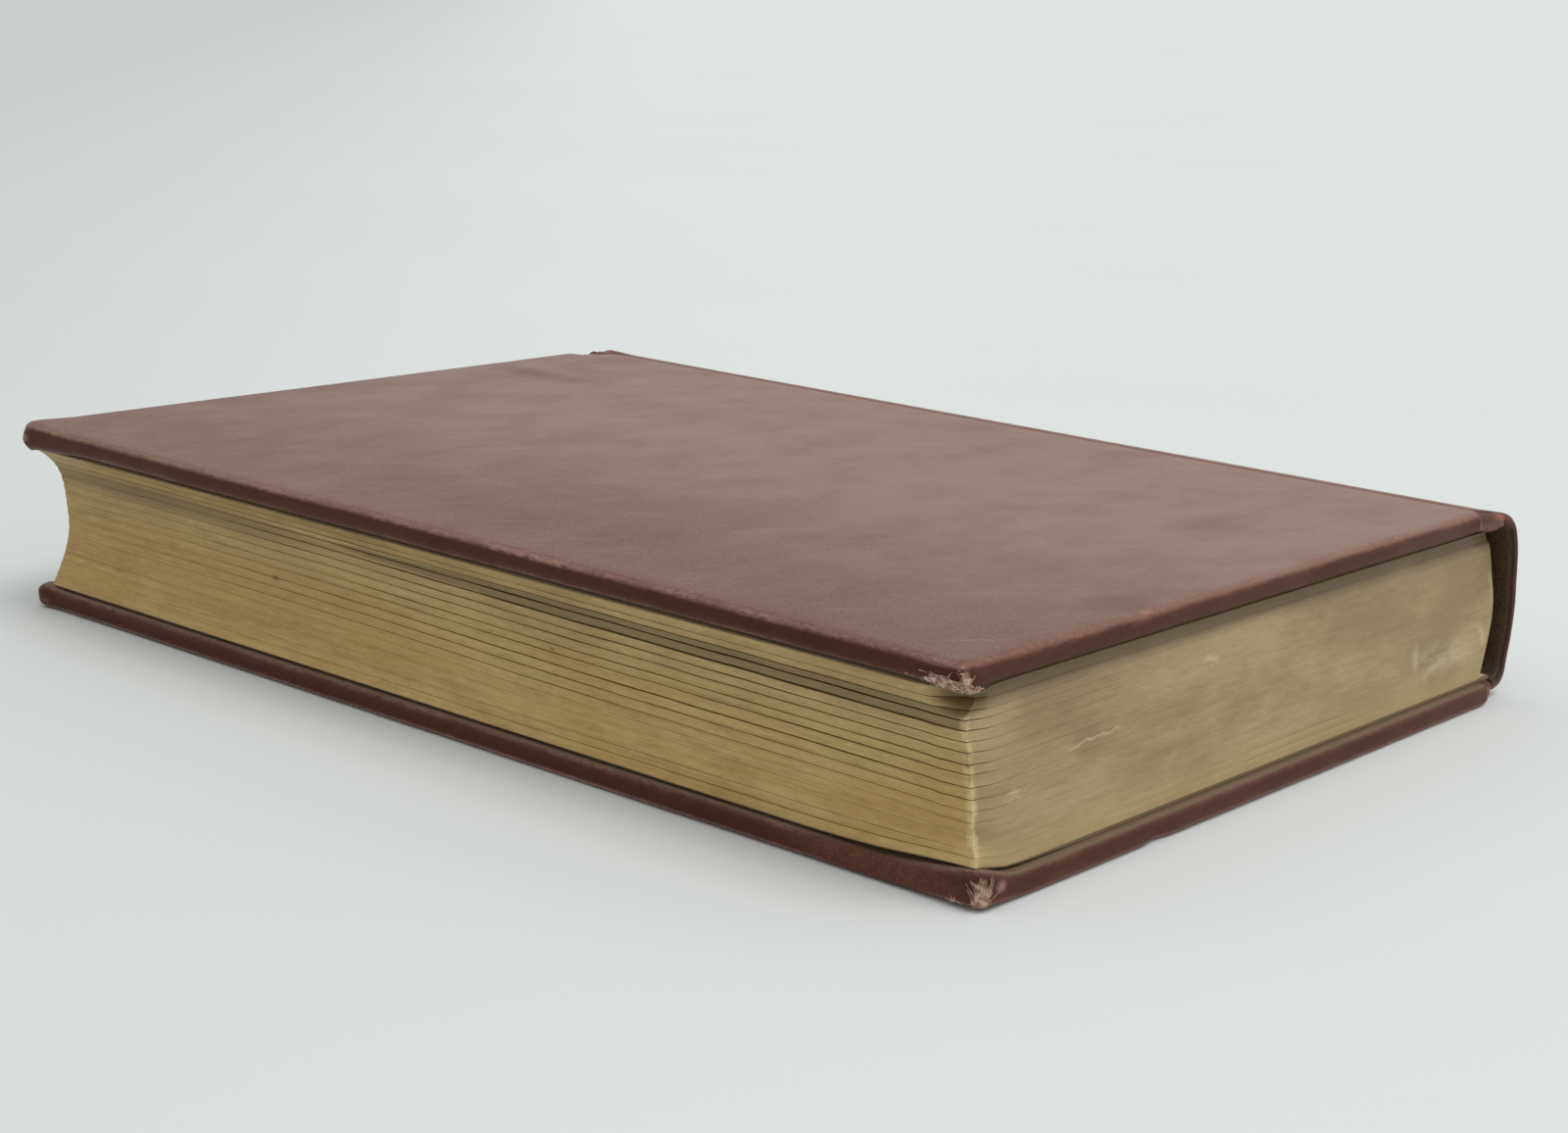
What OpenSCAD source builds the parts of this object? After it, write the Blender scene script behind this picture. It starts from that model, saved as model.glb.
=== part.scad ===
// Hardback book, case-bound in leather, with a rounded and gilded text block.
// It lies on its back cover. X runs from the spine to the fore-edge, Y from the
// tail to the head, Z upwards. The origin is the middle of the footprint.

/* [Covers] */
// Height of each cover, tail to head, over the leather
cover_h = 254.5; // [180:0.5:320]
// Width of each cover, joint to fore-edge, over the leather
cover_w = 173; // [120:0.5:240]
// Thickness of the millboards
board_t = 3; // [2:0.1:5]
// Thickness of the leather
leather_t = 0.75; // [0.5:0.05:1.2]
// Width of the leather turned in over the inner face of a board
turn_in = 14; // [8:0.5:25]
// Radius of the worn arrises of the covers
arris_r = 1.6; // [0.8:0.1:1.9]
// Radius of the cover corners, seen from above
corner_r = 3; // [2:0.25:6]
// Bare leather left round a pastedown
margin = 4; // [2:0.25:7]

/* [Text block] */
// Thickness of the sewn and pressed pages
block_t = 29.4; // [15:0.2:60]
// Number of folded sections sewn together
sections = 17; // [12:1:30]
// Overhang of the covers at the fore-edge
fore_square = 1.2; // [1:0.1:8]
// Overhang of the covers at the head
head_square = 1.8; // [1:0.1:8]
// Overhang of the covers at the tail
tail_square = 3.9; // [1:0.1:8]
// Depth of the hollow that the rounding gives the fore-edge
fore_hollow = 3.4; // [1:0.1:6]
// Rise of the rounded back over its shoulders
back_round = 3.3; // [2:0.1:6]
// Height of the gaps where the sections part at the fore-edge
slit_t = 0.4; // [0.2:0.05:0.6]
// Depth of those gaps at the head
slit_d = 2.6; // [1:0.1:4]
// Longest parted stretch, from the head down
slit_run = 200; // [60:5:210]
// Number of parted sections, from the front cover down
slits = 11; // [4:1:11]
// Depth of the groove between two sections that stay shut
fold_d = 0.6; // [0.3:0.05:1]
// Height of that groove at its mouth
fold_t = 0.16; // [0.1:0.02:0.3]

/* [Endpapers and linings] */
// Thickness of the endpapers
paper_t = 0.25; // [0.15:0.01:0.35]
// Running gap between a cover and the pages
gap = 0.3; // [0.3:0.05:0.6]
// Thickness of the sewing tapes
tape_t = 0.4; // [0.3:0.05:0.6]
// Width of a sewing tape
tape_w = 15; // [8:1:20]
// Number of sewing tapes
tapes = 5; // [3:1:6]
// Thickness of the gauze over the tapes
mull_t = 0.3; // [0.2:0.05:0.5]
// Distance from the ends of the block to the gauze
mull_inset = 14; // [8:1:20]
// Thickness of the paper glued over the gauze
lining_t = 0.3; // [0.2:0.05:0.5]
// Free space between that paper and the turned-in leather of the spine
back_gap = 3; // [1.5:0.1:5]
// Film of glue between two curved layers
glue_t = 0.05; // [0.05:0.01:0.1]

/* [Spine and joints] */
// Thickness of the card that stiffens the spine
card_t = 1.5; // [0.8:0.1:2]
// Radius of the spine's two shoulders
shoulder_r = 6; // [4.5:0.25:7]
// Drop from a cover's outer face to the spine's shoulder
shoulder_drop = 1.2; // [1:0.1:2]
// Width of the joint groove between a cover and the spine
joint_w = 4.4; // [3.5:0.1:7]
// Radius in which the leather turns at the foot of that groove
groove_r = 1.5; // [0.5:0.1:1.5]
// How far under the joint the shoulder of the text block comes
shoulder_out = 0.6; // [-1:0.1:1]
// Leather turned in over the card at head and tail
cap_turn = 12; // [6:0.5:20]
// Slit that parts the leather of a cover from that of the spine at its hinge
hinge_slit = 0.3; // [0.3:0.05:0.5]

/* [Lean] */
// Slip of the front cover over the back cover, towards the tail
slip_y = 4.6; // [0:0.1:6]
// Slip of the front cover over the back cover, towards the fore-edge
slip_x = 1.4; // [0:0.1:2]

/* [Hidden] */
$fn = 96;
eps = 1;
reach = cover_w + cover_h;

cover_t = board_t + 2 * leather_t;
stack = paper_t + gap + paper_t;
total_t = block_t + 2 * (cover_t + stack);
mid_z = total_t / 2;
block_h = cover_h - head_square - tail_square;
block_y = (tail_square - head_square) / 2;
cover_gap = total_t - cover_t;

// Layers behind the block, counted outwards from its rounded back
tape_to = glue_t + tape_t;
mull_to = tape_to + glue_t + mull_t;
lining_to = mull_to + glue_t + lining_t;
turned_to = lining_to + back_gap;
card_from = turned_to + leather_t;
card_to = card_from + card_t;
back_to = card_to + leather_t;

half_t = block_t / 2;
block_r = (half_t * half_t + back_round * back_round) / (2 * back_round);
spine_r = block_r + back_to;
spine_half = mid_z - shoulder_drop;
shoulder_rise = spine_half - shoulder_r;
shoulder_run = sqrt(pow(spine_r - shoulder_r, 2) - pow(shoulder_rise, 2));
shoulder_turn = atan2(shoulder_rise, shoulder_run);

// Places along X, from the outermost point of the spine
spine_to_joint = back_to + back_round - shoulder_out;
total_w = spine_to_joint + joint_w + cover_w + slip_x / 2;
spine_x = -total_w / 2;
round_x = spine_x + spine_r;
lip_x = spine_x + spine_to_joint;
cover_x = lip_x + joint_w;
arc_x = round_x - shoulder_run;

// +1 is the front cover, on top, and -1 the back cover
function cover_dx(side) = side * slip_x / 2;
function cover_dy(side) = -side * slip_y / 2;
function hinge_x(side) = (lip_x + cover_x + cover_dx(side)) / 2;
function lean_x(z) = slip_x * (z - mid_z) / cover_gap;
function lean_y(z) = block_y - slip_y * (z - mid_z) / cover_gap;
function fore_x(z) = cover_x + cover_w - fore_square + lean_x(z)
    - fore_hollow * (1 - pow((z - mid_z) / half_t, 2));
function back_x(z) = round_x - sqrt(pow(block_r, 2) - pow(z - mid_z, 2));
function fold_z(i) = mid_z - half_t + i * block_t / sections;
function slit_z(i) = mid_z + half_t - i * block_t / sections;

// One side of the block in the XZ plane, with a groove at each fold
function side_points(is_fore) = [
    for (i = [0:sections], k = [-1:1])
        let (z = fold_z(i) + k * fold_t / 2, in = (k == 0 ? fold_d : 0))
            if (abs(z - mid_z) <= half_t && !(k == 0 && (i == 0 || i == sections)))
                is_fore ? [fore_x(z) - in, z] : [back_x(z) + in, z]
];
function ends(is_fore) = let (bottom = mid_z - half_t, top = mid_z + half_t)
    is_fore ? [[fore_x(bottom), bottom], [fore_x(top), top]]
            : [[back_x(bottom), bottom], [back_x(top), top]];
function reversed(list) = [for (i = [len(list) - 1:-1:0]) list[i]];
function side_line(is_fore) = concat([ends(is_fore)[0]], side_points(is_fore), [ends(is_fore)[1]]);

module along_y(length) {
    rotate([90, 0, 0]) linear_extrude(length, center = true) children();
}

module rounded_rect(size, r) {
    square([size[0] - 2 * r, size[1]], center = true);
    square([size[0], size[1] - 2 * r], center = true);
    for (sx = [-1, 1], sy = [-1, 1])
        translate([sx * (size[0] / 2 - r), sy * (size[1] / 2 - r)]) circle(r);
}

module rounded_slab(w, h, t) {
    intersection() {
        linear_extrude(t, center = true) rounded_rect([w, h], corner_r);
        along_y(h) rounded_rect([w, t], arris_r);
        rotate([90, 0, 90]) linear_extrude(w, center = true) rounded_rect([h, t], arris_r);
    }
}

// Puts a back cover's piece, modelled with its outer face on Z = 0, on its side
module on_side(side) {
    translate([cover_x + cover_dx(side), cover_dy(side), side > 0 ? total_t : 0])
        mirror([0, 0, side > 0 ? 1 : 0]) children();
}

// Cuts the head and tail ends, which lean as the covers do
module lean_ends() {
    z_lo = mid_z - half_t;
    z_hi = mid_z + half_t;
    intersection() {
        children();
        rotate([90, 0, 90]) linear_extrude(reach, center = true) polygon([
            [lean_y(z_lo) - block_h / 2, z_lo], [lean_y(z_lo) + block_h / 2, z_lo],
            [lean_y(z_hi) + block_h / 2, z_hi], [lean_y(z_hi) - block_h / 2, z_hi]]);
    }
}

// Round back of the spine, drawn in by inset from its outer face
module spine_form(inset) {
    rise = (spine_r - inset) * sin(shoulder_turn);
    half = spine_half - inset;
    intersection() {
        union() {
            intersection() {
                translate([round_x, mid_z]) circle(spine_r - inset, $fn = 240);
                translate([spine_x, mid_z - rise]) square([lip_x - spine_x, 2 * rise]);
            }
            for (s = [-1, 1])
                translate([arc_x, mid_z + s * shoulder_rise]) circle(shoulder_r - inset);
            translate([arc_x, mid_z - half]) square([lip_x - arc_x, 2 * half]);
        }
        translate([spine_x, 0]) square([lip_x - spine_x, total_t]);
    }
}

// Layer of the block's back between two depths, over a height either side of the middle
module back_layer(from, to, half) {
    intersection() {
        difference() {
            translate([round_x, mid_z]) circle(block_r + to, $fn = 240);
            translate([round_x, mid_z]) circle(block_r + from, $fn = 240);
        }
        translate([spine_x, mid_z - half]) square([lip_x - spine_x, 2 * half]);
    }
}

module text_block() {
    color("#a08c5e") difference() {
        lean_ends() along_y(cover_h)
            polygon(concat(side_line(true), reversed(side_line(false))));
        for (i = [1:slits]) slit(i);
    }
}

// Wedge between two sections, widest at the head
module slit(i) {
    z = slit_z(i);
    head = block_h / 2 + lean_y(z);
    run = slit_run * (0.85 - 0.15 * cos(i * 110));
    translate([fore_x(z), head, z - slit_t / 2]) linear_extrude(slit_t)
        polygon([[fore_hollow, eps], [-slit_d, eps], [-slit_d, 0], [0, -run], [fore_hollow, -run]]);
}

module flyleaf(side) {
    z = mid_z + side * half_t;
    x = back_x(z);
    color("#cdbf9e") translate([x, lean_y(z) - block_h / 2, side > 0 ? z : z - paper_t])
        cube([fore_x(z) - x, block_h, paper_t]);
}

module tape_row() {
    span = block_h - 2 * mull_inset - tape_w;
    for (i = [0:tapes - 1])
        translate([0, block_y + i * span / (tapes - 1) - span / 2, 0]) children();
}

// Extrudes along Y either side of the middle of the block's height
module along_block(length) {
    translate([0, block_y, 0]) along_y(length) children();
}

module sewing_tapes() {
    color("#d8cdb4") tape_row() along_y(tape_w) back_layer(glue_t, tape_to, half_t);
}

module mull() {
    color("#c9c2ae") difference() {
        along_block(block_h - 2 * mull_inset) back_layer(glue_t, mull_to, half_t);
        tape_row() along_y(tape_w) back_layer(0, tape_to + glue_t, half_t + eps);
    }
}

module back_lining() {
    color("#6d5c47") along_block(block_h - slip_y)
        back_layer(mull_to + glue_t, lining_to, half_t);
}

// Paper tube that lets the spine spring away from the block
module hollow_tube() {
    from = lining_to + glue_t;
    to = card_from - glue_t;
    half = block_r * sin(shoulder_turn) - 2 * paper_t;
    color("#7a6a52") along_y(cover_h - 2 * cap_turn) difference() {
        back_layer(from, to, half);
        back_layer(from + paper_t, to - paper_t, half - paper_t);
    }
}

module spine_card() {
    color("#8c8069") along_y(cover_h - 2 * leather_t) intersection() {
        difference() {
            spine_form(leather_t);
            spine_form(leather_t + card_t);
        }
        translate([spine_x, 0]) square([lip_x - leather_t - spine_x, total_t]);
    }
}

// Leather on the round of the spine, turned in over the card at head and tail
module spine_leather() {
    around = leather_t + card_t + leather_t;
    color("#6b3a30") union() {
        difference() {
            along_y(cover_h) spine_form(0);
            along_y(cover_h + eps) spine_form(around);
            along_y(cover_h - 2 * cap_turn) spine_inside(leather_t);
            along_y(cover_h - 2 * leather_t) difference() {
                spine_inside(leather_t);
                spine_form(leather_t + card_t);
            }
        }
        for (side = [-1, 1]) spine_flange(side);
    }
}

module spine_inside(inset) {
    intersection() {
        spine_form(inset);
        translate([spine_x, 0]) square([lip_x - leather_t - spine_x, total_t]);
    }
}

// Leather in the angle where a wall meets the floor of the joint, as a strip along Y
module groove_turn() {
    along_y(cover_h) difference() {
        translate([-leather_t, -leather_t]) square(groove_r + leather_t);
        translate([groove_r, groove_r]) circle(groove_r, $fn = 32);
    }
}

// Leather that goes down the shoulder into the joint, as far as the hinge
module spine_flange(side) {
    run = hinge_x(side) - hinge_slit / 2 - lip_x;
    z = side > 0 ? total_t - cover_t : cover_t - leather_t;
    foot = spine_half - (mid_z - cover_t);
    along_y(cover_h) {
        translate([lip_x - leather_t, z]) square([leather_t + run, leather_t]);
        translate([lip_x - leather_t, side > 0 ? z : mid_z - spine_half])
            square([leather_t, foot]);
    }
    translate([lip_x, 0, side > 0 ? z + leather_t : z]) scale([1, 1, side]) groove_turn();
}

module cover_board(side) {
    color("#8f8a80") on_side(side) translate([cover_w / 2, 0, leather_t])
        linear_extrude(board_t)
            rounded_rect([cover_w - 2 * leather_t, cover_h - 2 * leather_t], corner_r - leather_t);
}

module infill_box(t) {
    translate([leather_t, turn_in - cover_h / 2, leather_t + board_t])
        cube([cover_w - leather_t - turn_in, cover_h - 2 * turn_in, t]);
}

// Card that brings the inner face level with the turned-in leather
module cover_infill(side) {
    color("#b5a98f") on_side(side) infill_box(leather_t);
}

module pastedown(side) {
    color("#cdbf9e") on_side(side) translate([leather_t, margin - cover_h / 2, cover_t])
        cube([cover_w - leather_t - margin, cover_h - 2 * margin, paper_t]);
}

// Leather over a board, turned in on three sides, with its half of the joint
module cover_leather(side) {
    run = cover_x + cover_dx(side) - hinge_x(side) - hinge_slit / 2;
    color("#7a4a3f") on_side(side) difference() {
        union() {
            translate([cover_w / 2, 0, cover_t / 2]) rounded_slab(cover_w, cover_h, cover_t);
            translate([-run, -cover_h / 2, cover_t - leather_t])
                cube([run + leather_t, cover_h, leather_t]);
            translate([0, 0, cover_t - leather_t]) scale([-1, 1, -1]) groove_turn();
        }
        translate([cover_w / 2, 0, leather_t]) linear_extrude(board_t)
            rounded_rect([cover_w - 2 * leather_t, cover_h - 2 * leather_t], corner_r - leather_t);
        infill_box(leather_t + eps);
    }
}

text_block();
flyleaf(1);  // front_flyleaf
flyleaf(-1);  // back_flyleaf
sewing_tapes();
mull();
back_lining();
hollow_tube();
spine_card();
spine_leather();
cover_board(1);  // front_board
cover_infill(1);  // front_infill
pastedown(1);  // front_pastedown
cover_leather(1);  // front_leather
cover_board(-1);  // back_board
cover_infill(-1);  // back_infill
pastedown(-1);  // back_pastedown
cover_leather(-1);  // back_leather
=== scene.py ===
import math
import random

import bmesh
import bpy
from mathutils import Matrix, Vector, noise
from mathutils.bvhtree import BVHTree
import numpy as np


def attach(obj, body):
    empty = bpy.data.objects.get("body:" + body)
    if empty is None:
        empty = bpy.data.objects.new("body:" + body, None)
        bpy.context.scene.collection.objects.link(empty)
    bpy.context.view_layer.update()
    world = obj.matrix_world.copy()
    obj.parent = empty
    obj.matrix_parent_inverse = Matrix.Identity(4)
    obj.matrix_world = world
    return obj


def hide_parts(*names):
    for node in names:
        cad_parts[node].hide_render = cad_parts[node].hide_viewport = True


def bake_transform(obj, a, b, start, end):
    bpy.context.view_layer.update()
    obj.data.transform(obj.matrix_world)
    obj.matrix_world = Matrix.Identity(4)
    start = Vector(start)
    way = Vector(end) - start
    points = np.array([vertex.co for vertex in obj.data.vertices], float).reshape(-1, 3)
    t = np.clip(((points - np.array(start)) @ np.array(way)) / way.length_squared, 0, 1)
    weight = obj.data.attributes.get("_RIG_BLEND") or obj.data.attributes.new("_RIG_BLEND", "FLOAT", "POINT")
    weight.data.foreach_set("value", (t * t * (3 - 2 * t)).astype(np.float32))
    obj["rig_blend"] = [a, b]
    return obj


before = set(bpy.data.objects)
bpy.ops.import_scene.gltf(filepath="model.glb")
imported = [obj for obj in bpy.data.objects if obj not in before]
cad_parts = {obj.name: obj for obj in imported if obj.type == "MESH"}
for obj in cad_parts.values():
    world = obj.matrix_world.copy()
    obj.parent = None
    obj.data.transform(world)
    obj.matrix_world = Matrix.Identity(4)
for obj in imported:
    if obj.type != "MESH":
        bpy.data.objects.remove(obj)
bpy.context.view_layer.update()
print("frame loaded:", len(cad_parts), "nodes")

mm = 0.001


def smooth(low, high, value):
    # 0 below low, 1 above high, eased between them
    t = min(max((value - low) / (high - low), 0), 1)
    return t * t * (3 - 2 * t)


def fade(low, high, value):
    return 1 - smooth(low, high, value)


def bump(value, centre, width):
    return math.exp(-((value - centre) / width) ** 2)


def ripple(x, y, z, size, seed):
    # soft random hills of about this size in mm, from -1 to 1
    return noise.noise(Vector((x, y, z)) / size + Vector((seed * 7.3, seed * 3.1, seed * 5.7)))


def toLinear(hexText):
    # sRGB hex to Blender's linear colour
    parts = [int(hexText[i:i + 2], 16) / 255 for i in (1, 3, 5)]
    return [p / 12.92 if p <= 0.04045 else ((p + 0.055) / 1.055) ** 2.4 for p in parts] + [1]


def newMaterial(name):
    material = bpy.data.materials.new(name)
    material.use_nodes = True
    material.node_tree.nodes.clear()
    return material


def addNode(owner, kind, links=None, **settings):
    # adds a node to a material or world, sets its options and joins or fills its inputs
    tree = owner.node_tree
    node = tree.nodes.new(kind)
    for key, value in settings.items():
        setattr(node, key, value)
    for key, value in (links or {}).items():
        if isinstance(value, bpy.types.NodeSocket):
            tree.links.new(value, node.inputs[key])
        else:
            node.inputs[key].default_value = value
    return node


def patternAt(m, place, size, stretch=(1, 1, 1), detail=3, rough=0.5, turn=0, output="Fac"):
    # noise in cells of this many mm, stretched along axes turned about Z
    cells = addNode(m, "ShaderNodeMapping", {"Vector": place, "Rotation": (0, 0, math.radians(turn)),
        "Scale": [size * s * mm for s in stretch]}, vector_type="TEXTURE").outputs[0]
    return addNode(m, "ShaderNodeTexNoise", {"Vector": cells, "Scale": 1, "Detail": detail,
        "Roughness": rough}).outputs[output]


def maskOf(m, *masks):
    # product of masks: each a socket, a number, or (socket, low, high, at low, at high), eased between
    product = None
    for mask in masks:
        if isinstance(mask, tuple):
            value, low, high, least, most = (mask + (0, 1))[:5]
            mask = addNode(m, "ShaderNodeMapRange", {"Value": value, "From Min": low, "From Max": high,
                "To Min": least, "To Max": most}, interpolation_type="SMOOTHSTEP").outputs[0]
        if product is not None:
            mask = addNode(m, "ShaderNodeMath", {0: product, 1: mask}, operation="MULTIPLY").outputs[0]
        product = mask
    return product


def layer(m, under, over, *masks):
    # one colour over another, as far as the masks let it through
    under, over = [toLinear(c) if isinstance(c, str) else c for c in (under, over)]
    return addNode(m, "ShaderNodeMix", {0: maskOf(m, *masks), 6: under, 7: over},
        data_type="RGBA").outputs[2]


def layered(m, under, rows):
    # a row's colour covers the ones before it up to its most, where its pattern goes from low to high
    for pattern, low, high, most, over in rows:
        under = layer(m, under, over, (pattern, low, high, 0, most))
    return under


def largest(m, values):
    result = values[0]
    for value in values[1:]:
        result = addNode(m, "ShaderNodeMath", {0: result, 1: value}, operation="MAXIMUM").outputs[0]
    return result


def spotAt(m, place, centre, radii, edge=0.5, turn=(0, 0, 0)):
    # 1 inside an ellipsoid given in mm and degrees, 0 outside it, soft from edge to its rim
    shaped = addNode(m, "ShaderNodeMapping", {"Vector": place, "Location": [c * mm for c in centre],
        "Rotation": [math.radians(t) for t in turn], "Scale": [r * mm for r in radii]},
        vector_type="TEXTURE").outputs[0]
    length = addNode(m, "ShaderNodeVectorMath", {0: shaped}, operation="LENGTH").outputs["Value"]
    return maskOf(m, (length, edge, 1, 1, 0))


def spotsAt(m, place, spots, edge):
    return largest(m, [spotAt(m, place, centre, radii, edge) for centre, radii in spots])


def finish(m, colour, roughness, bumps=(), metallic=0.0, specular=0.5):
    # bumps: height and depth in mm, finest last
    normal = None
    for height, depth in bumps:
        links = {"Height": height, "Distance": depth * mm, "Strength": 1.0}
        if normal:
            links["Normal"] = normal
        normal = addNode(m, "ShaderNodeBump", links).outputs[0]
    links = {"Base Color": colour, "Roughness": roughness, "Metallic": metallic,
        "Specular IOR Level": specular}
    if normal:
        links["Normal"] = normal
    shader = addNode(m, "ShaderNodeBsdfPrincipled", links)
    addNode(m, "ShaderNodeOutputMaterial", {"Surface": shader.outputs[0]})
    return m


view = {"place": (408.32, 355.88, 147.71), "aim": (3.073, 10.118, 20), "roll": 2.2716,
    "lens": 60.4425, "sensor": 36, "clip": (0.01, 100)}

camera = bpy.data.objects.new("camera", bpy.data.cameras.new("camera"))
camera.location = Vector(view["place"]) * mm
camera.rotation_euler = (Vector(view["aim"]) * mm - camera.location).to_track_quat("-Z", "Y").to_euler()
camera.rotation_euler.rotate_axis("Z", math.radians(view["roll"]))
camera.data.lens = view["lens"]
camera.data.sensor_width = view["sensor"]
camera.data.clip_start, camera.data.clip_end = view["clip"]
bpy.context.scene.collection.objects.link(camera)
bpy.context.scene.camera = camera

# a pale room whose windows are behind the spine: the head is lit more than the fore-edge
light = {"dim": 0.58, "bright": 0.8, "windows": (-0.75, 0.6, 0.3), "sky": "#fbfdfd",
    "lamp": 1.03, "angle": 40, "tilt": (-7, -22)}

world = bpy.data.worlds.new("paleStudio")
world.use_nodes = True
bpy.context.scene.world = world
skyWay = addNode(world, "ShaderNodeTexCoord").outputs["Generated"]
skyTurn = addNode(world, "ShaderNodeVectorMath", {0: skyWay, 1: light["windows"]},
    operation="DOT_PRODUCT").outputs["Value"]
skyLevel = maskOf(world, (skyTurn, -1, 1, light["dim"], light["bright"]))
background = world.node_tree.nodes["Background"]
background.inputs["Color"].default_value = toLinear(light["sky"])
world.node_tree.links.new(skyLevel, background.inputs["Strength"])

lamp = bpy.data.objects.new("softLamp", bpy.data.lights.new("softLamp", "SUN"))
lamp.data.energy = light["lamp"]
lamp.data.angle = math.radians(light["angle"])
lamp.rotation_euler = (math.radians(light["tilt"][1]), math.radians(light["tilt"][0]), 0)
bpy.context.scene.collection.objects.link(lamp)

ground = {"half": 30, "under": 0.00002}  # half its side and depth under the book, in metres

# Matt painted board: even pale grey, with only a breath of tone in it, and painted shade making it a little
# darker to the left
paleFloor = newMaterial("mattPaintedBoard")
floorPlace = addNode(paleFloor, "ShaderNodeTexCoord").outputs["Object"]
floorTone = layer(paleFloor, "#dde0df", "#e2e6e5", patternAt(paleFloor, floorPlace, 260, detail=2))
floorX, floorY, _ = addNode(paleFloor, "ShaderNodeSeparateXYZ", {0: floorPlace}).outputs
leftward = addNode(paleFloor, "ShaderNodeMath", {0: floorX, 1: floorY}, operation="SUBTRACT").outputs[0]
floorTone = layer(paleFloor, floorTone, "#c8cdcb", (leftward, -0.1, 0.75))
finish(paleFloor, floorTone, 0.85, specular=0.2)

floorMesh = bmesh.new()
bmesh.ops.create_grid(floorMesh, x_segments=2, y_segments=2, size=ground["half"])
bmesh.ops.translate(floorMesh, verts=floorMesh.verts, vec=(0, 0, -ground["under"]))
floorData = bpy.data.meshes.new("floor")
floorMesh.to_mesh(floorData)
floorMesh.free()
floor = bpy.data.objects.new("floor", floorData)
floorData.materials.append(paleFloor)
bpy.context.scene.collection.objects.link(floor)
print("camera, lamps and floor made")


# marks of wear on the leather, centre and radii in mm
leatherMarks = {
    # stains: then edge and strength
    "stains": (((-41, -111, 40), (7, 24, 8), 0.1, 1), ((43, 118, 40), (11, 8, 8), 0.3, 1),
        ((-22, 92, 40), (14, 8, 8), 0.1, 0.5)),
    "sore": (
        ((93.4, -127.4, 36.9), (1.6, 2.2, 1.4)), ((92, -122.6, 1.9), (1.8, 2.4, 1.3)),  # tail corners
        ((87.4, 129.4, 3.6), (2, 1.2, 1.5)),  # near corner
        ((93.5, 62, 39.6), (1, 1.4, 0.6)), ((93.5, 48, 39.6), (1, 2.2, 0.5)),  # fore arris
        ((93.5, 34, 39.6), (1, 1.2, 0.6)), ((93.5, 21, 39.6), (1, 1.8, 0.5)),
        ((42, 124, 39.6), (3, 1.6, 0.8))),  # dent at the head
    "paintedLight": ((92.5, 108, 2.6), (3, 26, 4)),  # painted light on the lower cover's fore wall, by the near corner
    "caps": (((-86, 127.6, 1.2), (4.5, 2.4, 1.8)), ((-83.4, 127, 38.8), (2.2, 2.4, 1.4)),
        ((-81.4, -127, 40), (3.4, 4, 2))),
    "through": (
        ((93.6, 120.6, 36.6), (2, 5.6, 1.1)), ((93, 124.6, 37), (1.6, 1.6, 3)),  # front cover
        ((90.6, 124.9, 35.4), (3.2, 1.2, 0.9)),
        ((91.7, 128.9, 1.2), (3, 3, 2.6)), ((91.9, 129.1, 4), (1.6, 1.6, 4)),  # back cover
        ((92.5, 124.2, 0.9), (0.9, 1.3, 0.8))),
}


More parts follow.
